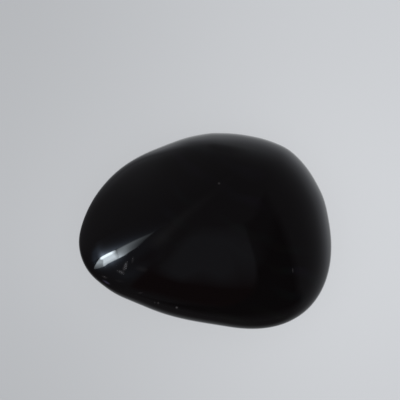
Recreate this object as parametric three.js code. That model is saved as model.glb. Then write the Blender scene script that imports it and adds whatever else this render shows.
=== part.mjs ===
// A palm stone of rainbow obsidian: one piece of black volcanic glass, ground and polished
// to fit the hand. It is rounder at its wide end (+X) and drawn out to a thin nose (-X).
//
// The whole stone is one solid. Its surface is given as a reach: how far it lies from the
// heart of the stone in any direction. The reach starts as a rounded pebble over the girdle,
// the widest line seen from above. Each ground face is the cap of a very large ball that
// limits the reach, and the polish lets the faces run softly into each other. Last, a small
// flat is cut square across the back, and the stone rests on it.

import * as THREE from 'three';
import { mergeVertices } from 'three/addons/utils/BufferGeometryUtils.js';

// Driving dimensions in millimetres and degrees. The heart of the stone is the origin of all
// of them, +X points to the wide end and +Z up, out of the crown.

// Radius of the girdle, measured by eye with a ruler every 20 degrees counterclockwise from
// +X. At the nose it has 0.6 added, which is what grinding the faces takes off there.
const GIRDLE_RADII = [
  39.8, 38.6, 37.3, 34.2, 31.5, 30.2,
  30.2, 32.8, 36.4, 40.3, 39.1, 33.2,
  29.8, 28.9, 30.7, 35.9, 40.7, 41.4,
];
// Height of the pebble above and below the girdle, before any face is ground, and how much
// fuller its edge is on the +Y side, and thinner on the -Y side.
const PEBBLE_HALF_HEIGHT = 16.4;
const PEBBLE_LEAN = 3.2;
// Fullness of the pebble's edge: 2 is an ellipse, and more is squarer in the shoulder.
const SHOULDER_POWER = 2.3;
// Distance over which the polish rounds one face into the next.
const POLISH = 0.85;
// Heart to the flat that is cut across the back.
const REST_DEPTH = 13.3;

// The ground faces. A face looks out towards its azimuth, tilted from straight up, and its
// middle lies at its distance from the heart on a ball of its radius.
const FACES = [
  { name: 'crown', azimuth: 214.5, tilt: 11.9, distance: 16.65, radius: 116 },
  { name: 'ridge slope', azimuth: 147.5, tilt: 19.5, distance: 18.35, radius: 105 },
  { name: 'lower slope', azimuth: 256, tilt: 29, distance: 20.8, radius: 110 },
  { name: 'back under the ridge', azimuth: 145, tilt: 144, distance: 25.8, radius: 120 },
  { name: 'back under the nose', azimuth: 200, tilt: 148, distance: 29.6, radius: 100 },
  { name: 'back under the lower slope', azimuth: 255, tilt: 140, distance: 23.2, radius: 110 },
  { name: 'back', azimuth: 180, tilt: 177, distance: 14, radius: 95 },
];

// Facets: steps around the stone, and rings from the back to the crown.
const AROUND = 108;
const RINGS = 36;
// How strongly the rings crowd towards the thin girdle: 1 spaces them evenly.
const CROWDING = 1.8;
// Passes that bring the girdle's curve through its radii. Each halves what is still missing.
const CONTROL_PASSES = 40;

// Direction that a face looks in.
function facing({ azimuth, tilt }) {
  const around = THREE.MathUtils.degToRad(azimuth);
  const down = THREE.MathUtils.degToRad(tilt);
  return new THREE.Vector3(
    Math.sin(down) * Math.cos(around),
    Math.sin(down) * Math.sin(around),
    Math.cos(down),
  );
}

// Controls of a closed uniform cubic B-spline that passes through the radii. It passes each
// control at (before + 4 own + after) / 6, so own is (6 radius - before - after) / 4.
function controlRadii(radii) {
  const count = radii.length;
  let controls = radii;
  for (let pass = 0; pass < CONTROL_PASSES; pass += 1) {
    const last = controls;
    const beside = (i) => last[(i + count - 1) % count] + last[(i + 1) % count];
    controls = radii.map((radius, i) => (6 * radius - beside(i)) / 4);
  }
  return controls;
}

const GIRDLE_CONTROLS = controlRadii(GIRDLE_RADII);

// Girdle radius at an azimuth in radians, on the closed B-spline of the controls.
function girdleRadius(azimuth) {
  const count = GIRDLE_CONTROLS.length;
  const turn = azimuth / (2 * Math.PI);
  const place = (turn - Math.floor(turn)) * count;
  const step = Math.floor(place);
  const t = place - step;
  const radius = (offset) => GIRDLE_CONTROLS[(step + offset + count) % count];
  const before = (1 - t) ** 3;
  const near = 3 * t ** 3 - 6 * t ** 2 + 4;
  const next = -3 * t ** 3 + 3 * t ** 2 + 3 * t + 1;
  const after = t ** 3;
  return (before * radius(-1) + near * radius(0) + next * radius(1) + after * radius(2)) / 6;
}

// Reach of the uncut pebble: a superellipse from the girdle up to its half height.
function pebbleReach(direction) {
  const level = Math.hypot(direction.x, direction.y);
  const outward = level / girdleRadius(Math.atan2(direction.y, direction.x));
  const upward = Math.abs(direction.z) / (PEBBLE_HALF_HEIGHT + PEBBLE_LEAN * direction.y);
  return (outward ** SHOULDER_POWER + upward ** SHOULDER_POWER) ** (-1 / SHOULDER_POWER);
}

// Reach of a ground face: where the direction leaves the face's ball.
function faceReach(face, direction) {
  const offset = face.distance - face.radius;
  const along = offset * facing(face).dot(direction);
  return along + Math.sqrt(along ** 2 - offset ** 2 + face.radius ** 2);
}

// Reach of the polished stone: a soft minimum, so that the nearest face counts most and two
// faces that lie within the polish distance are rounded together.
function polishedReach(direction) {
  const reaches = [pebbleReach(direction), ...FACES.map((face) => faceReach(face, direction))];
  const nearest = Math.min(...reaches);
  const sum = reaches.reduce((total, reach) => total + Math.exp((nearest - reach) / POLISH), 0);
  return nearest - POLISH * Math.log(sum);
}

// Reach of the finished stone, with the flat on its back.
function stoneReach(direction) {
  const reach = polishedReach(direction);
  return direction.z < 0 ? Math.min(reach, REST_DEPTH / -direction.z) : reach;
}

// The stone as one closed skin: a ball's grid, its rings crowded towards the girdle, with
// each corner pushed out to the reach of the stone.
function stoneGeometry() {
  const geometry = new THREE.SphereGeometry(1, AROUND, RINGS);
  geometry.rotateX(Math.PI / 2);
  geometry.deleteAttribute('normal');
  geometry.deleteAttribute('uv');
  const corners = geometry.getAttribute('position');
  const corner = new THREE.Vector3();
  for (let i = 0; i < corners.count; i += 1) {
    corner.fromBufferAttribute(corners, i);
    const azimuth = Math.atan2(corner.y, corner.x);
    const even = Math.asin(THREE.MathUtils.clamp(corner.z, -1, 1)) / (Math.PI / 2);
    const elevation = Math.sign(even) * Math.abs(even) ** CROWDING * (Math.PI / 2);
    corner.set(
      Math.cos(elevation) * Math.cos(azimuth),
      Math.cos(elevation) * Math.sin(azimuth),
      Math.sin(elevation),
    );
    corner.multiplyScalar(stoneReach(corner));
    corners.setXYZ(i, corner.x, corner.y, corner.z);
  }
  return mergeVertices(geometry, 1e-4);
}

// Set a geometry down with the middle of its footprint over the origin and its lowest point
// at the level of the surface that it rests on.
function setDown(geometry) {
  geometry.computeBoundingBox();
  const { min, max } = geometry.boundingBox;
  return geometry.translate(-(min.x + max.x) / 2, -(min.y + max.y) / 2, -min.z);
}

// Black volcanic glass with a high polish.
function obsidian() {
  return new THREE.MeshStandardMaterial({ color: 0x0b0b0e, roughness: 0.05, metalness: 0 });
}

const palmStone = new THREE.Mesh(setDown(stoneGeometry()), obsidian());
palmStone.name = 'palm_stone';

const group = new THREE.Group();
group.add(palmStone);

export default group;
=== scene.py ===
import bpy
import numpy as np
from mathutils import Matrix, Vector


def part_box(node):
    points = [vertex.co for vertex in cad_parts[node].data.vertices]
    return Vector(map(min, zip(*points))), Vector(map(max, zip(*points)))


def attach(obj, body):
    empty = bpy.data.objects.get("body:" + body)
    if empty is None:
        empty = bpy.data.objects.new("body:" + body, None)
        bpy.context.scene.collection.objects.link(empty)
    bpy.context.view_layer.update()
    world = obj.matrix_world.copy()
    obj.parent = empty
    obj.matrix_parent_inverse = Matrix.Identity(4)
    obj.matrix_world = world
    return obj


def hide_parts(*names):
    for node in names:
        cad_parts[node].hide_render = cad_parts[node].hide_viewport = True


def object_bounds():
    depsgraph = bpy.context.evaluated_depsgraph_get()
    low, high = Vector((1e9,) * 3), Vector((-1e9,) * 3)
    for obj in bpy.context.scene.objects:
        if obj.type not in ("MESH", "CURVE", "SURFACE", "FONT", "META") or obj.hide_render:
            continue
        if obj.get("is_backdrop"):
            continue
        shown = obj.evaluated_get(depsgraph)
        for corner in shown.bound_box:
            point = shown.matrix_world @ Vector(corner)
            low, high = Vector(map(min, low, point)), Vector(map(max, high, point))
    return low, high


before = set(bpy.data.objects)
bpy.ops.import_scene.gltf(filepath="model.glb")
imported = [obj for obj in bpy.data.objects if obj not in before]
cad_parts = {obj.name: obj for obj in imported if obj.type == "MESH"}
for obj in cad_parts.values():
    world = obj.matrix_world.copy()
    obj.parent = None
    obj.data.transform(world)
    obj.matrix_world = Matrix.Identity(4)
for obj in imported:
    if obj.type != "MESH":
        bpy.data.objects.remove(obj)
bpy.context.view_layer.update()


# ---------------------------------------------------------------------------
# The stone. One lump of volcanic glass, first rounded to a pebble that is widest at its
# girdle, then ground with a few large, gently domed faces that the polish runs together.
# Sizes are millimetres from the heart of the stone, with +X to the wide end and +Z up.

MM = 0.001

# Radius of the girdle, measured every 20 degrees counterclockwise from +X. Up to 0.6 is
# added towards the nose, which is what grinding the faces takes off there.
GIRDLE_RADII = np.array([
    39.8, 38.6, 37.3, 34.2, 31.5, 30.2,
    30.2, 32.8, 36.4, 40.3, 39.1, 33.2,
    29.8, 28.9, 30.7, 35.9, 40.7, 41.4,
])
# Passes that bring the girdle's curve through its radii. Each halves what is still missing.
CONTROL_PASSES = 40
# Height of the pebble above and below the girdle before grinding, and how much fuller its
# edge is on the +Y side. Fullness of the edge: 2 is an ellipse, and more is squarer.
PEBBLE_HALF_HEIGHT = 16.4
PEBBLE_LEAN = 3.2
SHOULDER_POWER = 2.3

# Each ground face: azimuth and tilt of its outlook in degrees, distance and ball radius.
GROUND_FACES = {
    "crown": (214.5, 11.9, 16.65, 116),
    "ridge slope": (147.5, 19.5, 18.35, 105),
    "lower slope": (256, 29, 20.8, 110),
    "back under the ridge": (145, 144, 25.8, 120),
    "back under the nose": (200, 148, 29.6, 100),
    "back under the lower slope": (255, 140, 23.2, 110),
    "back": (180, 177, 14, 95),
}
# Distance over which the polish rounds one face into the next, the depth of the flat that
# the stone rests on, and the softer edge that wear has given the flat. A direction that dips
# less than the last of these, as a share of its length, never meets the flat.
POLISH = 0.85
REST_DEPTH = 13.3
REST_EDGE = 0.15
LEAST_DIP = 0.05

# What a hand on the polishing wheel leaves: long swells, each with its length, the azimuth
# that it runs along and its height. They all run at one slant to the girdle, in degrees.
SWELLS = {
    "along the ridge": (19, 25, 0.008),
    "across the crown": (14, 100, 0.007),
    "over the slope": (11, 160, 0.005),
    "fine": (7.5, 62, 0.0025),
}
SWELL_SLANT = 20
# Where the grinding has left the edge a little fuller or hollower: the azimuth, how far it
# reaches along the edge in degrees, and its height. It dies out away from the girdle as this
# power of the direction's level part.
EDGE_CORNERS = {
    "right": (15.5, 6.5, 0.19),
    "shoulder": (45, 6.0, 0.23),
    "hollow past the shoulder": (66, 8.0, -0.10),
    "top": (86, 5.0, 0.13),
    "upper left": (125, 9.0, 0.13),
    "under the nose": (207, 5.0, -0.12),
    "lower left": (217, 7.0, 0.22),
}
CORNER_POWER = 6


def control_radii(radii):
    """The controls of a closed uniform cubic B-spline that passes through the radii. It
    passes each control at (before + 4 own + after) / 6, so own is (6 radius - before -
    after) / 4."""
    controls = radii
    for _ in range(CONTROL_PASSES):
        controls = (6 * radii - np.roll(controls, 1) - np.roll(controls, -1)) / 4
    return controls


GIRDLE_CONTROLS = control_radii(GIRDLE_RADII)


def girdle_radius(azimuth):
    """The closed B-spline of the girdle's controls at equal steps of azimuth: with t from
    one step to the next, the four nearest weigh (1-t)^3, 3t^3-6t^2+4, -3t^3+3t^2+3t+1 and
    t^3, over six."""
    count = len(GIRDLE_CONTROLS)
    place = (azimuth / (2 * np.pi) % 1) * count
    step = np.floor(place).astype(int)
    t = place - step
    weights = ((1 - t) ** 3, 3 * t**3 - 6 * t**2 + 4, -3 * t**3 + 3 * t**2 + 3 * t + 1, t**3)
    return sum(w * GIRDLE_CONTROLS[(step + k - 1) % count] for k, w in enumerate(weights)) / 6


def pebble_reach(way):
    """A superellipse from the girdle up: (level/girdle)^p + (rise/half height)^p = 1."""
    level = np.hypot(way[:, 0], way[:, 1])
    outward = level / girdle_radius(np.arctan2(way[:, 1], way[:, 0]))
    upward = np.abs(way[:, 2]) / (PEBBLE_HALF_HEIGHT + PEBBLE_LEAN * way[:, 1])
    return (outward**SHOULDER_POWER + upward**SHOULDER_POWER) ** (-1 / SHOULDER_POWER)


def outlook(azimuth, elevation):
    """The direction at an azimuth and an elevation in degrees."""
    turn, rise = np.radians([azimuth, elevation])
    return np.array([np.cos(rise) * np.cos(turn), np.cos(rise) * np.sin(turn), np.sin(rise)])


def face_reach(way, azimuth, tilt, distance, radius):
    """Where a direction from the heart leaves the ball that the face is a cap of: the far
    root of |reach times way - offset times outlook| = radius."""
    offset = distance - radius
    along = offset * (way @ outlook(azimuth, 90 - tilt))
    return along + np.sqrt(along**2 - offset**2 + radius**2)


def soft_minimum(reaches, softness):
    """The least of several reaches, rounded where two are alike: -s log(sum exp(-reach/s))."""
    reaches = np.stack(reaches)
    nearest = reaches.min(axis=0)
    return nearest - softness * np.log(np.exp((nearest - reaches) / softness).sum(axis=0))


def stone_reach(way):
    """How far the polished skin lies from the heart: the soft minimum of the pebble and its
    ground faces, raised and lowered by the swells, each a sine along its azimuth, and by the
    corners of the edge, each height times level^power times exp(-turn^2), and below the
    girdle no further than the flat."""
    faces = [face_reach(way, *face) for face in GROUND_FACES.values()]
    reach = soft_minimum([pebble_reach(way)] + faces, POLISH)
    place = way * reach[:, None]
    for length, azimuth, height in SWELLS.values():
        along = place @ outlook(azimuth, SWELL_SLANT)
        reach = reach + height * np.sin(2 * np.pi / length * along)
    turned = np.degrees(np.arctan2(way[:, 1], way[:, 0])) % 360
    level = np.hypot(way[:, 0], way[:, 1])
    for azimuth, wide, height in EDGE_CORNERS.values():
        reach = reach + height * level**CORNER_POWER * np.exp(-(((turned - azimuth) / wide) ** 2))
    flat = REST_DEPTH / np.maximum(-way[:, 2], LEAST_DIP)
    return soft_minimum([reach, flat], REST_EDGE)


def square_grid(rows, columns):
    """The squares of a grid whose points are numbered along its columns, row after row."""
    row, column = np.meshgrid(range(rows), range(columns), indexing="ij")
    first = (row * (columns + 1) + column).ravel()
    return np.stack([first, first + columns + 1, first + columns + 2, first + 1], axis=1)


def ball_grid(steps, flatness):
    """Directions over a ball without poles: the six sides of a cube, each a grid of equal
    angles, tan(pi/4 u), flattened along Z as the stone is so that its squares stay even on
    the stone, and brought to length one. Points that two sides share are merged."""
    a = np.tan(np.pi / 4 * np.linspace(-1, 1, steps + 1))
    u, v = (side.ravel() for side in np.meshgrid(a, a, indexing="ij"))
    one = np.ones_like(u)
    sides = [(one, u, v), (-one, v, u), (v, one, u), (u, -one, v), (u, v, one), (v, u, -one)]
    points = np.concatenate([np.stack(side, axis=1) for side in sides])
    points /= np.linalg.norm(points, axis=1, keepdims=True)
    points[:, 2] *= flatness
    points /= np.linalg.norm(points, axis=1, keepdims=True)
    squares = np.concatenate([square_grid(steps, steps) + k * (steps + 1) ** 2 for k in range(6)])
    rounded = np.round(points, 9)
    _, kept, merged = np.unique(rounded, axis=0, return_index=True, return_inverse=True)
    return points[kept], merged.ravel()[squares]


def new_piece(name, points, squares):
    """An object of the given name, with smooth squares between points in metres."""
    mesh = bpy.data.meshes.new(name)
    mesh.from_pydata(points.tolist(), [], squares.tolist())
    mesh.polygons.foreach_set("use_smooth", np.ones(len(squares), bool))
    mesh.update()
    piece = bpy.data.objects.new(name, mesh)
    bpy.context.scene.collection.objects.link(piece)
    return piece


# Squares along each side of the cube that the skin starts from, and how flat the stone is.
STONE_STEPS = 128
STONE_FLATNESS = 0.42

stone_low, stone_high = (np.array(corner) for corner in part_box("palm_stone"))
stone_way, stone_squares = ball_grid(STONE_STEPS, STONE_FLATNESS)
stone_skin = stone_way * stone_reach(stone_way)[:, None] * MM
low, high = stone_skin.min(axis=0), stone_skin.max(axis=0)
heart = np.append((stone_low + stone_high)[:2] / 2 - (low + high)[:2] / 2, stone_low[2] - low[2])
stone_skin += heart
stone = new_piece("polished_stone", stone_skin, stone_squares)
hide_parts("palm_stone")
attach(stone, "root")

# The polish. The glass is so dark that hardly any light comes back out of it. Flow bands lie
# folded in it and give the faintest coloured sheen, and the surface keeps the marks of use:
# hairlines, the haze of fingers and a few pits. Painted into its colour are glints in the pits,
# painted reflections and faint pale patches by the nose, and a painted violet sheen.

GLASS_IOR = 1.49
GLASS_BLACK = (0.0011, 0.0010, 0.0012, 1)

obsidian = bpy.data.materials.new("polished_obsidian")
obsidian.use_nodes = True
stone.data.materials.append(obsidian)
glass = obsidian.node_tree.nodes["Principled BSDF"]
glass.inputs["IOR"].default_value = GLASS_IOR


def node(tree, kind, values=(), **settings):
    """A new shader node with its settings, its inputs given as values or as sockets."""
    made = tree.nodes.new("ShaderNode" + kind)
    for name, setting in settings.items():
        setattr(made, name, setting)
    for name, value in dict(values).items():
        if isinstance(value, bpy.types.NodeSocket):
            tree.links.new(value, made.inputs[name])
        else:
            made.inputs[name].default_value = value
    return made


def noise(tree, place, size, detail, **more):
    """A noise whose grains are about the given size in metres, from 0 to 1."""
    values = {"Vector": place, "Scale": 1 / size, "Detail": detail, **more}
    return node(tree, "TexNoise", values).outputs["Fac"]


def ramp(tree, value, start, end, low=0.0, high=1.0):
    """A value that goes from low to high while the given one goes from start to end."""
    values = {"Value": value, "From Min": start, "From Max": end, "To Min": low, "To Max": high}
    return node(tree, "MapRange", values).outputs["Result"]


def plus_times(tree, value, factor, other):
    """The value times the factor, plus the other."""
    return node(tree, "Math", {0: value, 1: factor, 2: other}, operation="MULTIPLY_ADD").outputs[0]


tree = obsidian.node_tree
place = node(tree, "TexCoord").outputs["Object"]

# Flow bands: the way across their layers, the distance from one to the next, and how large
# the folds are and how far, in turns of the wave, they push the layers out of true.
ACROSS_LAYERS = (0.42, 0.86, 0.3)
LAYER_SPACING = 0.007
FOLD_SIZE = 0.026
FOLD_PUSH = 2.2
# A band comes up while its wave goes from the first of these to the second. The bands show in
# patches only, which come up in the same way, and their hue changes with the folds.
BAND_SHOWS = (0.1, 1.0)
PATCH_SIZE = 0.032
PATCH_SHOWS = (0.48, 0.72)
BAND_HUES = {
    "violet": (0.34, (0.0036, 0.0016, 0.0052, 1)),
    "green": (0.54, (0.0015, 0.0029, 0.0027, 1)),
    "gold": (0.72, (0.0036, 0.0026, 0.0011, 1)),
}
WHOLE_TURN = 2 * np.pi

fold = noise(tree, place, FOLD_SIZE, 2.0)
across_layers = node(tree, "VectorMath", {0: place, 1: ACROSS_LAYERS}, operation="DOT_PRODUCT")
depth = across_layers.outputs["Value"]
straight = plus_times(tree, depth, WHOLE_TURN / LAYER_SPACING, 0.0)
folded = plus_times(tree, fold, WHOLE_TURN * FOLD_PUSH, straight)
wave = node(tree, "Math", {0: folded}, operation="SINE").outputs[0]
band = ramp(tree, wave, *BAND_SHOWS)
shows = ramp(tree, noise(tree, place, PATCH_SIZE, 1.0), *PATCH_SHOWS)
sheen = plus_times(tree, band, shows, 0.0)
hue = node(tree, "ValToRGB", {"Fac": fold})
for position, colour in BAND_HUES.values():
    hue.color_ramp.elements.new(position).color = colour
hue.color_ramp.elements.remove(hue.color_ramp.elements[-1])
hue.color_ramp.elements.remove(hue.color_ramp.elements[0])
body = node(tree, "Mix", {"Factor": sheen, "A": GLASS_BLACK, "B": hue.outputs["Color"]},
            data_type="RGBA").outputs["Result"]

# Each mark: its place over the stone from the heart, length and width in millimetres, turn in
# degrees and tone. The pale tone in the pits is a painted glint, the pale marks by the nose
# are painted reflections, and the hairline on the flank is a scratch.
MARKS_AND_PAINTED_LIGHT = {
    "pit on the crown with painted glint": (4.4, 14.8, 0.95, 0.85, 0, 0.023),
    "pit on the lower slope with painted glint": (-8.8, -24.05, 0.9, 0.85, 0, 0.060),
    "pin prick with painted glint": (-14.8, -22.7, 0.7, 0.8, 0, 0.036),
    "second pin prick with painted glint": (-15.8, -22.6, 0.5, 0.7, 0, 0.022),
    "painted reflection": (-25.0, -11.15, 4.1, 1.5, 70, 0.026),
    "short painted reflection": (-26.4, -12.85, 3.2, 1.3, -20, 0.022),
    "light painted reflection": (-22.7, -9.1, 2.4, 0.9, 75, 0.012),
    "faint painted reflection": (-20.4, -19.6, 2.0, 0.6, 5, 0.010),
    "nose painted reflection": (-31.7, -14.7, 2.4, 0.8, -17, 0.016),
    "pale patch": (-19.8, -11.9, 5.0, 2.0, -8, 0.0042),
    "thin pale patch": (-27.0, -15.8, 3.6, 1.0, -10, 0.0030),
    "hairline on the flank": (27.6, -12.15, 1.9, 0.45, 93, 0.020),
}
# The pinkish grey of the marks, which in the pits is a painted glint and by the nose is a painted
# reflection.
MARK_AND_PAINTED_LIGHT_TINT = (1.0, 0.91, 0.94)
# A painted violet sheen, where a flow band comes to the surface by the nose.
PAINTED_VIOLET_SHEEN = (-31.3, -16.2, 3.0, 0.75, -28, 0.034)
VIOLET = (0.85, 0.72, 1.35)
# How deep a mark goes in millimetres, the size of the crumbs that break up its edge and how
# far they push it, and where a mark fades out and is full, in shares of its half size.
MARK_DEPTH = 2
CRUMB_SIZE = 0.0012
CRUMB_PUSH = 0.65
MARK_ENDS = 1.4
MARK_IS_FULL = 0.6

crumble = noise(tree, place, CRUMB_SIZE, 2.0)


def soft_ellipse(x, y, length, width, turn, tone):
    """The tone of a mark, which lies on the skin straight above its place: full in its
    middle, and fading out as the distance from there over its half size, with the push of
    the crumbs added, grows from where it is full to where it ends."""
    aside = np.hypot(stone_skin[:, 0] - heart[0] - x * MM, stone_skin[:, 1] - heart[1] - y * MM)
    under_mark = stone_skin[np.argmin(aside + (stone_way[:, 2] < 0))]
    spot = node(tree, "Mapping", {
        "Vector": place,
        "Location": tuple(under_mark),
        "Rotation": (0, 0, np.radians(turn)),
        "Scale": (length / 2 * MM, width / 2 * MM, MARK_DEPTH * MM),
    }, vector_type="TEXTURE").outputs["Vector"]
    away = node(tree, "VectorMath", {0: spot}, operation="LENGTH").outputs["Value"]
    crumbled = plus_times(tree, crumble, CRUMB_PUSH, away)
    return ramp(tree, crumbled, MARK_ENDS, MARK_IS_FULL, 0.0, tone)


# The marks' tones add up, painted glints and painted reflections among them, and they and the
# painted violet sheen are added to the glass's colour.
marks_and_painted_light = 0.0
for mark in MARKS_AND_PAINTED_LIGHT.values():
    marks_and_painted_light = plus_times(tree, soft_ellipse(*mark), 1.0, marks_and_painted_light)
colour = body
for tone, tint in ((marks_and_painted_light, MARK_AND_PAINTED_LIGHT_TINT), (soft_ellipse(*PAINTED_VIOLET_SHEEN), VIOLET)):
    tinted = node(tree, "VectorMath", {0: tint, "Scale": tone}, operation="SCALE").outputs["Vector"]
    colour = node(tree, "Mix", {"Factor": 1.0, "A": colour, "B": tinted}, data_type="RGBA",
                  blend_type="ADD").outputs["Result"]
tree.links.new(colour, glass.inputs["Base Color"])

# Hairlines run in two directions: each is the thin middle line of a noise that is drawn out
# along them, and they show in worn patches only. Direction in degrees, and how many start in
# a metre of it.
HAIRLINES = {"along the ridge": (31.0, 60.0), "across": (118.0, 75.0)}
HAIRLINES_BESIDE = 2600.0
HAIRLINE_WIDTH = 0.006
WORN_PATCH_SIZE = 0.0083
WORN_SHOWS = (0.5, 0.75)

scratched = 0.0
worn = ramp(tree, noise(tree, place, WORN_PATCH_SIZE, 2.0), *WORN_SHOWS)
for turn, starts in HAIRLINES.values():
    drawn_out = node(tree, "Mapping", {
        "Vector": place,
        "Rotation": (0, 0, np.radians(turn)),
        "Scale": (starts, HAIRLINES_BESIDE, HAIRLINES_BESIDE),
    }).outputs["Vector"]
    off = plus_times(tree, noise(tree, drawn_out, 1.0, 1.0), 1.0, -0.5)
    from_middle = node(tree, "Math", {0: off}, operation="ABSOLUTE").outputs[0]
    scratched = plus_times(tree, ramp(tree, from_middle, HAIRLINE_WIDTH, 0.0), worn, scratched)

# The haze of fingers takes a little of the gloss away, hairlines more, and the marks most,
# the painted glints and painted reflections among them.
TOUCH_SIZE = 0.0133
TOUCH_SHOWS = (0.42, 0.72)
GLOSS_ROUGHNESS = 0.018
HAZE_ROUGHNESS = 0.045
HAIRLINE_ROUGHNESS = 0.05
# Roughness for each unit of a mark's tone.
MARK_ROUGHNESS = 9.0

touch = noise(tree, place, TOUCH_SIZE, 3.0, Distortion=0.6)
haze = ramp(tree, touch, *TOUCH_SHOWS, GLOSS_ROUGHNESS, HAZE_ROUGHNESS)
worn_haze = plus_times(tree, scratched, HAIRLINE_ROUGHNESS, haze)
roughness = plus_times(tree, marks_and_painted_light, MARK_ROUGHNESS, worn_haze)
tree.links.new(roughness, glass.inputs["Roughness"])

# The finest relief: a swell of the polish that is too fine for the mesh, with the hairlines
# and the marks, the painted glints and painted reflections among them, sunk a little into it,
# in shares of the ripple's height.
RIPPLE_SIZE = 0.0038
RIPPLE_HEIGHT = 0.0000035
MARK_RISE = -20.0
HAIRLINE_RISE = -0.1

sunk = plus_times(tree, marks_and_painted_light, MARK_RISE, noise(tree, place, RIPPLE_SIZE, 1.0))
height = plus_times(tree, scratched, HAIRLINE_RISE, sunk)
relief = node(tree, "Bump", {"Height": height, "Strength": 1.0, "Distance": RIPPLE_HEIGHT})
tree.links.new(relief.outputs["Normal"], glass.inputs["Normal"])


# ---------------------------------------------------------------------------
# The table: a pale matt top under an overhead light, so that the stone's shadow stays under
# it. Painted light makes the top a little lighter on the right and darker to the front and
# back, and lighter round the stone, where it cancels the soft shade that the stone casts. The
# air round it is pale too, where the camera can see past the table.

TABLE_RADIUS = 3.0
TABLE_RINGS = 80
TABLE_STEPS = 180
# The rings are even out to this many girdle radii, and beyond that widen as this power.
EVEN_RINGS = 3
RING_GROWTH = 6
TABLE_TINT = np.array([0.98, 1.0, 1.03, 1])
TABLE_GREY = 0.640
# How far painted light lifts the grey to the right and painted shade lowers it to the front and
# back, the distance that it takes, and the X that it changes to the right from.
PAINTED_LIGHT_TO_RIGHT = 0.104
PAINTED_SHADE_FRONT_AND_BACK = 0.08
TONE_REACH = 0.06
PAINTED_LIGHT_TO_RIGHT_FROM = -0.015
# Painted light round the stone, against the soft shade that it casts, and how far it reaches.
PAINTED_LIGHT_ROUND_STONE = 0.125
PAINTED_LIGHT_ROUND_STONE_REACH = 0.014


def table_grey_and_painted_light(x, y, gap):
    """Grey of the paint at x and y in metres, with painted light and shade in it: it rises to the
    right as tanh(x), falls to the front and back as tanh(y)^2, and is lifted near the stone as
    exp(-gap), which is painted light against the stone's soft shade."""
    across = TABLE_GREY + PAINTED_LIGHT_TO_RIGHT * np.tanh((x - PAINTED_LIGHT_TO_RIGHT_FROM) / TONE_REACH)
    along = 1 - PAINTED_SHADE_FRONT_AND_BACK * np.tanh(y / TONE_REACH) ** 2
    return across * along * (1 + PAINTED_LIGHT_ROUND_STONE * np.exp(-gap / PAINTED_LIGHT_ROUND_STONE_REACH))


azimuth, spread = np.meshgrid(
    np.linspace(0, 2 * np.pi, TABLE_STEPS + 1), np.linspace(0, 1, TABLE_RINGS + 1), indexing="ij")
azimuth, spread = azimuth.ravel(), spread.ravel()
outline = girdle_radius(azimuth) * MM
near = EVEN_RINGS * outline
radius = near * spread + (TABLE_RADIUS - near) * spread**RING_GROWTH
level_way = np.column_stack([np.cos(azimuth), np.sin(azimuth), np.zeros_like(azimuth)])
table_points = radius[:, None] * level_way + heart * (1, 1, 0)
table = new_piece("table_top", table_points, square_grid(TABLE_STEPS, TABLE_RINGS))
# The paint holds the painted light and shade of the top.
tone = table_grey_and_painted_light(table_points[:, 0], table_points[:, 1], np.clip(radius - outline, 0, None))
paint_with_painted_light = table.data.color_attributes.new("paint", "FLOAT_COLOR", "POINT")
paint_with_painted_light.data.foreach_set("color", (tone[:, None] * TABLE_TINT).ravel())
table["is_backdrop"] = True

table_paint = bpy.data.materials.new("matt_table")
table_paint.use_nodes = True
table.data.materials.append(table_paint)
paint = table_paint.node_tree.nodes["Principled BSDF"]
paint.inputs["Roughness"].default_value = 0.9
paint.inputs["Specular IOR Level"].default_value = 0.0
stored = node(table_paint.node_tree, "Attribute", attribute_name="paint")
table_paint.node_tree.links.new(stored.outputs["Color"], paint.inputs["Base Color"])

OVERHEAD_ENERGY = 1.81
OVERHEAD_SOFTNESS = 5
AIR_LIGHT = (0.32, 0.325, 0.335, 1)
AIR_SEEN = (0.55, 0.56, 0.58, 1)

overhead_light = bpy.data.lights.new("overhead", "SUN")
overhead_light.energy = OVERHEAD_ENERGY
overhead_light.angle = np.radians(OVERHEAD_SOFTNESS)
overhead = bpy.data.objects.new("overhead", overhead_light)
bpy.context.scene.collection.objects.link(overhead)
overhead.visible_glossy = False

pale_air = bpy.data.worlds.new("pale_air")
bpy.context.scene.world = pale_air
pale_air.use_nodes = True
air = pale_air.node_tree
seen = node(air, "LightPath").outputs["Is Camera Ray"]
air_tone = node(air, "Mix", {"Factor": seen, "A": AIR_LIGHT, "B": AIR_SEEN}, data_type="RGBA")
air.links.new(air_tone.outputs["Result"], air.nodes["Background"].inputs["Color"])


# ---------------------------------------------------------------------------
# The studio that the polish mirrors, on sheets that only a mirror can see: a pale wall round
# the far right, a dim ceiling, a dark doorway in front and a tall window on the left.

# Tones of the dim side, the wall's own glow, a paler patch of ceiling, the light that the
# window throws on the ceiling, the shade in front and the doorway.
DIM = np.array([0.096, 0.086, 0.093])
WALL = np.array([0.585, 0.615, 0.665])
CEILING = np.array([0.054, 0.063, 0.075])
THROWN_LIGHT = np.array([0.078, 0.080, 0.080])
SHADE = np.array([0.068, 0.040, 0.040])
DOORWAY = np.array([0.049, 0.038, 0.040])
# The wall is brightest towards this azimuth and elevation, begins where the cosine from there
# is this low, and reaches full tone over this much of it. It fades upwards round this
# elevation, over about this many degrees.
WALL_OUTLOOK = (62, 0)
WALL_BEGINS = -0.57
WALL_RISE = 1.04
WALL_FADE = (3, 13)
# Where the wall is lighter or darker: azimuth, elevation, reach of each, and by how much.
WALL_PATCHES = {
    "lit end": (140, 15, 16, 15, 0.8),
    "lit strip": (117, -22, 9, 24, 0.4),
    "lit past the strip": (88, -26, 13, 16, 0.12),
    "shaded middle": (91, 12, 14, 13, -0.42),
    "bright right": (18, -24, 36, 30, 0.38),
    "dim upper left": (159, 22, 14, 11, -0.33),
}


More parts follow.
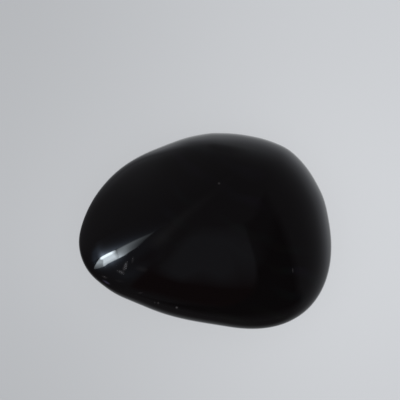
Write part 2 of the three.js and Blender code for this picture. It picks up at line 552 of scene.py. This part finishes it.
def glow_sheet(name, points, squares, tones):
    """A sheet that shines with its own tone at each of its points, and that only a mirror
    sees: no light from it falls on the stone or the table."""
    sheet = new_piece(name, points, squares)
    colours = sheet.data.color_attributes.new("glow", "FLOAT_COLOR", "POINT")
    colours.data.foreach_set("color", np.column_stack([tones, np.ones(len(tones))]).ravel())
    shine = bpy.data.materials.new(name)
    shine.use_nodes = True
    shine.node_tree.nodes.clear()
    glow = node(shine.node_tree, "Attribute", attribute_name="glow").outputs["Color"]
    emission = node(shine.node_tree, "Emission", {"Color": glow}).outputs[0]
    node(shine.node_tree, "OutputMaterial", {"Surface": emission})
    shine.cycles.emission_sampling = "NONE"
    sheet.data.materials.append(shine)
    for kind in ("camera", "diffuse", "transmission", "volume_scatter", "shadow"):
        setattr(sheet, "visible_" + kind, False)
    sheet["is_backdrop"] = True


def soft_step(value, edge, softness):
    """0 below the edge and 1 above it, over a ramp as wide as the softness."""
    return np.clip((value - edge) / softness + 0.5, 0, 1)


def soft_drop(value, edge, softness):
    """1 below the edge and 0 above it, over a ramp as wide as the softness."""
    return soft_step(-value, -edge, softness)


def panel_axes(azimuth, elevation, turn):
    """The middle of a panel that faces the stone, and its ways across and up."""
    middle = outlook(azimuth, elevation)
    level = outlook(azimuth + 90, 0)
    rise = np.cross(middle, level)
    t = np.radians(turn)
    return middle, level * np.cos(t) + rise * np.sin(t), rise * np.cos(t) - level * np.sin(t)


def wall_side(way):
    """1 where the pale wall is, and falling to 0 on the dim side with the cosine between the
    direction and the wall's outlook."""
    return np.clip((way @ outlook(*WALL_OUTLOOK) - WALL_BEGINS) / WALL_RISE, 0, 1)


def on_panel(way, azimuth, elevation, turn):
    """How far a direction lies across and up from the middle of a panel, in degrees."""
    middle, across, up = panel_axes(azimuth, elevation, turn)
    ahead = way @ middle
    return np.degrees(np.arctan2(way @ across, ahead)), np.degrees(np.arctan2(way @ up, ahead))


# The thrown light: azimuth, elevation and turn of its panel, then in degrees on the panel its
# width, how far up it stays full, the length that it fades over, and where and how softly it
# starts.
THROWN_LIGHT_PANEL = (190, 62, 46)
THROWN_LIGHT_WIDTH = 5.5
THROWN_LIGHT_FULL_TO = -6
THROWN_LIGHT_LENGTH = 18
THROWN_LIGHT_START = (-11, 8)


def thrown_light(way):
    """The light that the window throws on the ceiling: a strip that fades to its sides as
    exp(-x^2) and away from the window as exp(-y)."""
    x, y = on_panel(way, *THROWN_LIGHT_PANEL)
    beyond = np.clip(y - THROWN_LIGHT_FULL_TO, 0, None)
    strip = np.exp(-(x / THROWN_LIGHT_WIDTH) ** 2 - beyond / THROWN_LIGHT_LENGTH)
    return strip * soft_step(y, *THROWN_LIGHT_START)


def around_and_up(way):
    """Azimuth and elevation of directions in degrees, the azimuth from -180 to 180."""
    azimuth = np.degrees(np.arctan2(way[:, 1], way[:, 0]))
    return azimuth, np.degrees(np.arcsin(np.clip(way[:, 2], -1, 1)))


def patches(way):
    """The product of what the wall's patches make of its light, each 1 + change times
    exp(-distance^4)."""
    azimuth, elevation = around_and_up(way)
    lift = 1.0
    for toward, height, wide, tall, change in WALL_PATCHES.values():
        off = ((azimuth - toward) / wide) ** 2 + ((elevation - height) / tall) ** 2
        lift = lift * (1 + change * np.exp(-off**2))
    return lift


# The patch of ceiling: its sides in azimuth, then its top and its foot in elevation. Here
# and below, an edge in brackets is its place and how softly it comes in.
CEILING_LEFT = (232, 24)
CEILING_RIGHT = (305, 20)
CEILING_TOP = (70.5, 6)
CEILING_FOOT = (35, 20)


def ceiling_patch(way):
    """1 in the paler patch of ceiling, which fades to both sides, upwards and downwards."""
    azimuth, elevation = around_and_up(way)
    sides = soft_step(azimuth % 360, *CEILING_LEFT) * soft_drop(azimuth % 360, *CEILING_RIGHT)
    return sides * soft_drop(elevation, *CEILING_TOP) * soft_step(elevation, *CEILING_FOOT)


# The shade: its sides, its top and its foot. The left side slants a degree for each degree of
# elevation. The top climbs and softens past an azimuth, each by so much for a degree of it,
# for so many degrees.
SHADE_LEFT = (207, 8)
SHADE_RIGHT = (305, 10)
SHADE_TOP = (49.5, 8)
SHADE_FOOT = (20, 14)
SHADE_CLIMBS_FROM = 254
SHADE_CLIMBS_FOR = 20
SHADE_CLIMB = 0.45
SHADE_SOFTENS = 0.4


def shade(way):
    """1 in the shade in front of the stone, which ends at a slanting left side and a top
    that climbs and softens to the right, and fades downwards."""
    azimuth, elevation = around_and_up(way)
    left, left_softness = SHADE_LEFT
    top, top_softness = SHADE_TOP
    sides = soft_step(azimuth % 360, left + top - elevation, left_softness)
    sides *= soft_drop(azimuth % 360, *SHADE_RIGHT)
    past = np.clip(azimuth % 360 - SHADE_CLIMBS_FROM, 0, SHADE_CLIMBS_FOR)
    below_top = soft_drop(elevation, top + SHADE_CLIMB * past, top_softness + SHADE_SOFTENS * past)
    return sides * below_top * soft_step(elevation, *SHADE_FOOT)


# The doorway: azimuth, elevation and turn of its panel, and its edges in degrees across and
# up. The left side slants below a height, and is softer lower down. The right side leans
# above and below another height, and never comes nearer than a limit. The top rises to the
# right of a place, and above a height some of the room shows through.
DOORWAY_PANEL = (312, 45, 0)
DOORWAY_LEFT = (-1.8, 1.8)
DOORWAY_LEFT_SLANTS_BELOW = 26
DOORWAY_LEFT_SLANT = 1.17
DOORWAY_LEFT_SOFT_BELOW = 22
DOORWAY_LEFT_SOFTENS = 0.4
DOORWAY_LEFT_SOFT_FOR = 12
DOORWAY_RIGHT = (19, 9)
DOORWAY_RIGHT_LEANS_AT = 16
DOORWAY_RIGHT_LEAN_ABOVE = 0.8
DOORWAY_RIGHT_LEAN_BELOW = 0.5
DOORWAY_RIGHT_LIMIT = 5
DOORWAY_TOP = (26.5, 2.5)
DOORWAY_TOP_SLOPES_FROM = 5
DOORWAY_TOP_SLOPE = 0.2
DOORWAY_THIN_ABOVE = (20, 3)
DOORWAY_SHOWS_THROUGH = 0.4
DOORWAY_FOOT = (-34, 16)


def doorway(way):
    """1 in the doorway, in degrees across and up from its middle: an opening with a slanting
    left side, a leaning right side, a sloping top that lets a little of the room through,
    and a soft foot."""
    x, y = on_panel(way, *DOORWAY_PANEL)

    left, left_softness = DOORWAY_LEFT
    slant = DOORWAY_LEFT_SLANT * np.minimum(y - DOORWAY_LEFT_SLANTS_BELOW, 0)
    soft = DOORWAY_LEFT_SOFTENS * np.clip(DOORWAY_LEFT_SOFT_BELOW - y, 0, DOORWAY_LEFT_SOFT_FOR)
    past_left = soft_step(x, left + slant, left_softness + soft)

    right, right_softness = DOORWAY_RIGHT
    rise = y - DOORWAY_RIGHT_LEANS_AT
    lean = np.where(rise > 0, DOORWAY_RIGHT_LEAN_ABOVE, DOORWAY_RIGHT_LEAN_BELOW) * rise
    before_right = soft_drop(x, np.maximum(right + lean, DOORWAY_RIGHT_LIMIT), right_softness)

    top, top_softness = DOORWAY_TOP
    slope = DOORWAY_TOP_SLOPE * np.clip(x - DOORWAY_TOP_SLOPES_FROM, 0, None)
    below_top = soft_drop(y, top + slope, top_softness)

    thick = 1 - DOORWAY_SHOWS_THROUGH * soft_step(y, *DOORWAY_THIN_ABOVE)
    return past_left * before_right * below_top * thick * soft_step(y, *DOORWAY_FOOT)


def studio_light(way):
    """The light of the studio in a direction: the dim tone, the wall's glow, which fades
    upwards as a logistic of the elevation and has its patches, the patch of ceiling and the
    light thrown on it, and in front of them the shade and the doorway."""
    elevation = around_and_up(way)[1]
    middle, spread = WALL_FADE
    wall = wall_side(way) * patches(way) / (1 + np.exp((elevation - middle) / spread))
    room = DIM + wall[:, None] * WALL + ceiling_patch(way)[:, None] * CEILING
    room += thrown_light(way)[:, None] * THROWN_LIGHT
    for cover, tone in ((shade(way)[:, None], SHADE), (doorway(way)[:, None], DOORWAY)):
        room = room * (1 - cover) + tone * cover
    return room


# Radius of the studio in metres, squares along each side of the cube that its sheet starts
# from, and how little below the table top it ends, as a share of the radius.
STUDIO_RADIUS = 2.8
STUDIO_STEPS = 170
STUDIO_FOOT = -0.01

studio_way, studio_squares = ball_grid(STUDIO_STEPS, 1)
above = studio_way[:, 2] > STUDIO_FOOT
studio_squares = studio_squares[above[studio_squares].all(axis=1)]
glow_sheet("studio_walls", studio_way * STUDIO_RADIUS, studio_squares, studio_light(studio_way))

# The table as the polish mirrors it, on a sheet just above it: its own tone close by, half as
# light on the dim side, running into the studio's tone further off.
MIRRORED_TABLE = np.array([0.60, 0.62, 0.65])
SHEET_HEIGHT = 0.5
# Dips are degrees below the level, seen from this height in millimetres, a little over the
# girdle. The sheet reaches from the first dip to the second.
DIPS_SEEN_FROM = 16.0
STEEPEST_DIP = 60
SHALLOWEST_DIP = 0.4
DIP_STEPS = 120
# The dip that the table's own tone begins at on the dim side, the degrees of dip that it takes
# to be full, and what the lit side adds to the one and takes off the other.
TABLE_BEGINS = 16
TABLE_FULL_OVER = 27
LIT_BEGINS_LATER = 6
LIT_FULL_SOONER = 7

azimuth, dip = np.meshgrid(
    np.linspace(0, 2 * np.pi, TABLE_STEPS + 1),
    np.linspace(STEEPEST_DIP, SHALLOWEST_DIP, DIP_STEPS + 1), indexing="ij")
azimuth, dip = azimuth.ravel(), dip.ravel()
away = (girdle_radius(azimuth) + DIPS_SEEN_FROM / np.tan(np.radians(dip))) * MM
way = np.column_stack([np.cos(azimuth), np.sin(azimuth), -np.tan(np.radians(dip))])
way /= np.linalg.norm(way, axis=1, keepdims=True)
lit = wall_side(way)
table_begins = TABLE_BEGINS + LIT_BEGINS_LATER * lit
close_by = np.clip((dip - table_begins) / (TABLE_FULL_OVER - LIT_FULL_SOONER * lit), 0, 1)[:, None]
mirrored = ((1 + lit**2) / 2 * patches(way))[:, None] * MIRRORED_TABLE
level_way = np.column_stack([np.cos(azimuth), np.sin(azimuth), np.zeros_like(azimuth)])
points = away[:, None] * level_way + heart * (1, 1, 0) + (0, 0, SHEET_HEIGHT * MM)
glow_sheet("table_in_the_polish", points, square_grid(TABLE_STEPS, DIP_STEPS),
           studio_light(way) * (1 - close_by) + mirrored * close_by)

# The window: the azimuth, elevation and turn of its middle, and how far off it stands in
# metres. Its sheet reaches past the pane in degrees, to hold the glow beside it.
WINDOW = (195.8, 36.7, 8.1)
WINDOW_DISTANCE = 2.0
WINDOW_REACH = 24.0
WINDOW_STEPS = 300
# Edges of the pane in degrees across to the right and up from the middle, each with its
# softness.
PANE_LEFT = (-4.75, 0.7)
PANE_RIGHT = (4.8, 0.5)
PANE_TOP = (12.6, 2.0)
PANE_BOTTOM = (-10.4, 0.9)
# The left edge slants round a height, from so many degrees below it to so many above, and is
# softer above another. The right edge leans out below a height, for so many degrees. The top
# and the bottom slope down to the right, the top with a step and the bottom more steeply on
# the right.
LEFT_SLANT = 0.17
LEFT_SLANTS_ROUND = -3
LEFT_SLANT_SPAN = (-1, 4)
LEFT_SOFTER_ABOVE = (1, 1)
RIGHT_LEAN = 0.45
RIGHT_LEANS_BELOW = -4
RIGHT_LEANS_FOR = 2
TOP_SLOPE = 1.25
TOP_STEP = 3.0
TOP_STEP_AT = (3.4, 1.2)
BOTTOM_SLOPE_LEFT = 0.8
BOTTOM_SLOPE_RIGHT = 1.4
# A bright band of sky crosses the pane. It is whitest on the left, where it also reaches a
# degree lower, and dims to the right. Its top rises and its bottom sinks to the right.
SKY_LIGHT = 14.4
WHITE_LIGHT = 25.4
WHITE_EDGE = (-1.9, 1.5)
SKY_DIM = 0.14
SKY_DIMS_FROM = 2
SKY_DIMS_FOR = 3
SKY_TOP = (0.15, 2.2)
SKY_TOP_RISE = 0.2
SKY_BOTTOM = (-5.9, 1.2)
SKY_BOTTOM_SINK = 0.25
SKY_BOTTOM_SINKS_FROM = 1
SKY_BOTTOM_SINKS_FOR = 4
# A curtain hangs above the sky. It fades upwards from its hem, and leans below and above it.
CURTAIN_LIGHT = 3.3
CURTAIN_HEM = 4.4
CURTAIN_FADE = 6
CURTAIN_LEAN_BELOW = 0.05
CURTAIN_LEAN_ABOVE = 0.035
CURTAIN_LEANS_ROUND = -3
CURTAIN_FOOT = (0.4, 1.6)
# A grey sill lies below the sky. It has the second tone at a place across and up, and fades
# from there over so many degrees, but is nowhere lighter than the first.
SILL_LIGHT = 7.4
SILL_FADING_LIGHT = 6.5
SILL_FADES_FROM = (1, -7.5)
SILL_FADE_ACROSS = 4.8
SILL_FADE_DOWN = 9
SILL_TOP = (-5.6, 1.4)
PANE_TINT = np.array([0.90, 1.01, 1.09])


def pane_right(y):
    """Where the right edge of the pane lies at a height."""
    return PANE_RIGHT[0] + RIGHT_LEAN * np.clip(RIGHT_LEANS_BELOW - y, 0, RIGHT_LEANS_FOR)


def within_pane(x, y):
    """1 within the pane, whose left, right, top and bottom edges all slant."""
    left, left_softness = PANE_LEFT
    slant = LEFT_SLANT * np.clip(y - LEFT_SLANTS_ROUND, *LEFT_SLANT_SPAN)
    inside = soft_step(x, left + slant, left_softness + soft_step(y, *LEFT_SOFTER_ABOVE))
    inside *= soft_drop(x, pane_right(y), PANE_RIGHT[1])
    top, top_softness = PANE_TOP
    top_drop = TOP_SLOPE * x + TOP_STEP * soft_step(x, *TOP_STEP_AT)
    inside *= soft_drop(y, top - top_drop, top_softness)
    bottom, bottom_softness = PANE_BOTTOM
    bottom_slope = np.where(x < 0, BOTTOM_SLOPE_LEFT, BOTTOM_SLOPE_RIGHT)
    return inside * soft_step(y, bottom - bottom_slope * x, bottom_softness)


def sky_light(x, y):
    """The band of sky, from its white left end to the dimmer right."""
    white = soft_drop(x, *WHITE_EDGE)
    sky = SKY_LIGHT + (WHITE_LIGHT - SKY_LIGHT) * white
    sky *= 1 - SKY_DIM * np.clip(x - SKY_DIMS_FROM, 0, SKY_DIMS_FOR)
    bottom, bottom_softness = SKY_BOTTOM
    sink = SKY_BOTTOM_SINK * np.clip(x - SKY_BOTTOM_SINKS_FROM, 0, SKY_BOTTOM_SINKS_FOR)
    sky *= soft_step(y, bottom - white - sink, bottom_softness)
    top, top_softness = SKY_TOP
    return sky * soft_drop(y, top + SKY_TOP_RISE * x, top_softness)


def curtain_light(x, y):
    """The curtain, which fades upwards from its hem as exp(-y). It also leans: below the hem
    it grows to the right as exp(x) and above it to the left, the more the further away."""
    lean = np.where(y < CURTAIN_HEM, CURTAIN_LEAN_BELOW, CURTAIN_LEAN_ABOVE) * (CURTAIN_HEM - y)
    fade = -np.clip(y - CURTAIN_HEM, 0, None) / CURTAIN_FADE
    curtain = CURTAIN_LIGHT * np.exp(fade + lean * (x - CURTAIN_LEANS_ROUND))
    return curtain * soft_step(y, *CURTAIN_FOOT)


def sill_light(x, y):
    """The sill, which fades to the right as exp(-x) and downwards as exp(y)."""
    across, up = SILL_FADES_FROM
    fading = SILL_FADING_LIGHT * np.exp((across - x) / SILL_FADE_ACROSS + (y - up) / SILL_FADE_DOWN)
    return np.minimum(SILL_LIGHT, fading) * soft_drop(y, *SILL_TOP)


def pane_light(x, y):
    """Light within the pane: the brightest of the sky, the curtain and the sill."""
    brightest = np.maximum(np.maximum(sky_light(x, y), curtain_light(x, y)), sill_light(x, y))
    return brightest * within_pane(x, y)


# Beside the pane, the reveal glows on the left, brightest along a ridge that sinks to the left.
# Above and below the ridge it falls off in two parts, each with its share and its distance.
REVEAL_LIGHT = 5.0
REVEAL_FADES_FROM = -5.0
REVEAL_FADE = 4.0
REVEAL_EDGE = (-4.7, 0.6)
RIDGE_HEIGHT = -4.9
RIDGE_SINK = 0.3
NEAR_ABOVE = (0.55, 1.6)
FAR_ABOVE = (0.45, 6.0)
NEAR_BELOW = (0.8, 1.7)
FAR_BELOW = (0.2, 3.2)
# A thin edge glows on the right, brightest at a height.
EDGE_LIGHT = 2.0
EDGE_FADE_ACROSS = 1.9
EDGE_FADE_ALONG = 4.0
EDGE_HEIGHT = -2.5
EDGE_START_SOFTNESS = 0.5
EDGE_TOP = (3.0, 4.0)
REVEAL_TINT = np.array([0.79, 0.97, 1.24])


def reveal_light(x, y):
    """Light beside the pane: on the left it falls off as exp(x) from the pane, above the
    ridge as two exp(-y), and below it as exp(-y^2) and exp(-y). The thin edge on the right
    falls off as exp(-x) and as exp(-|y|)."""
    reach = np.clip(REVEAL_FADES_FROM - x, 0, None)
    from_ridge = y - RIDGE_HEIGHT + RIDGE_SINK * reach
    above = np.clip(from_ridge, 0, None)
    below = np.clip(-from_ridge, 0, None)
    near, far = NEAR_ABOVE, FAR_ABOVE
    reveal = near[0] * np.exp(-above / near[1]) + far[0] * np.exp(-above / far[1])
    near, far = NEAR_BELOW, FAR_BELOW
    reveal *= near[0] * np.exp(-(below / near[1]) ** 2) + far[0] * np.exp(-below / far[1])
    reveal *= REVEAL_LIGHT * np.exp(-reach / REVEAL_FADE) * soft_drop(x, *REVEAL_EDGE)
    past = np.clip(x - pane_right(y), 0, None)
    edge = EDGE_LIGHT * np.exp(-past / EDGE_FADE_ACROSS - np.abs(y - EDGE_HEIGHT) / EDGE_FADE_ALONG)
    edge *= soft_step(x, pane_right(y), EDGE_START_SOFTNESS) * soft_drop(y, *EDGE_TOP)
    return reveal + edge


# A faint shelf lies low on the left, and the air round the window glows.
SHELF_LIGHT = 0.17
SHELF_HEIGHT = -10.5
SHELF_DEPTH = 2.3
SHELF_RIGHT = (0.5, 2)
SHELF_LEFT = (-19, 5)
AIR_GLOW = 0.07
AIR_GLOW_REACH = 14
GLOW_TINT = np.array([0.65, 0.95, 1.40])


def glow_light(x, y):
    """The shelf, a level band as exp(-y^2), and the air, as exp(-distance^2)."""
    shelf = SHELF_LIGHT * np.exp(-((y - SHELF_HEIGHT) / SHELF_DEPTH) ** 2)
    shelf *= soft_drop(x, *SHELF_RIGHT) * soft_step(x, *SHELF_LEFT)
    return shelf + AIR_GLOW * np.exp(-(np.hypot(x, y) / AIR_GLOW_REACH) ** 2)


middle, across, up = panel_axes(*WINDOW)
degrees = np.linspace(-WINDOW_REACH, WINDOW_REACH, WINDOW_STEPS + 1)
x, y = (side.ravel() for side in np.meshgrid(degrees, degrees, indexing="ij"))
points = middle + np.tan(np.radians(x))[:, None] * across + np.tan(np.radians(y))[:, None] * up
window_tones = studio_light(points / np.linalg.norm(points, axis=1, keepdims=True))
for light, tint in ((pane_light, PANE_TINT), (reveal_light, REVEAL_TINT), (glow_light, GLOW_TINT)):
    window_tones += light(x, y)[:, None] * tint
glow_sheet("window", points * WINDOW_DISTANCE + heart, square_grid(WINDOW_STEPS, WINDOW_STEPS),
           window_tones)


# ---------------------------------------------------------------------------
# The camera looks straight down on the crown through a long lens, from well above, so that
# the stone is seen almost without perspective and fills nearly two thirds of the frame.

CAMERA_HEIGHT = 0.8
FRAME_WIDTH = 0.127
CAMERA_MIDDLE = (-0.0016, 0.00983)
SENSOR_WIDTH = 36

lens = bpy.data.cameras.new("camera")
lens.sensor_width = SENSOR_WIDTH
lens.lens = SENSOR_WIDTH * CAMERA_HEIGHT / FRAME_WIDTH
camera = bpy.data.objects.new("camera", lens)
camera.location = (*CAMERA_MIDDLE, CAMERA_HEIGHT + REST_DEPTH * MM)
bpy.context.scene.collection.objects.link(camera)
bpy.context.scene.camera = camera
bpy.context.scene.view_settings.view_transform = "Standard"

low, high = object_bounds()
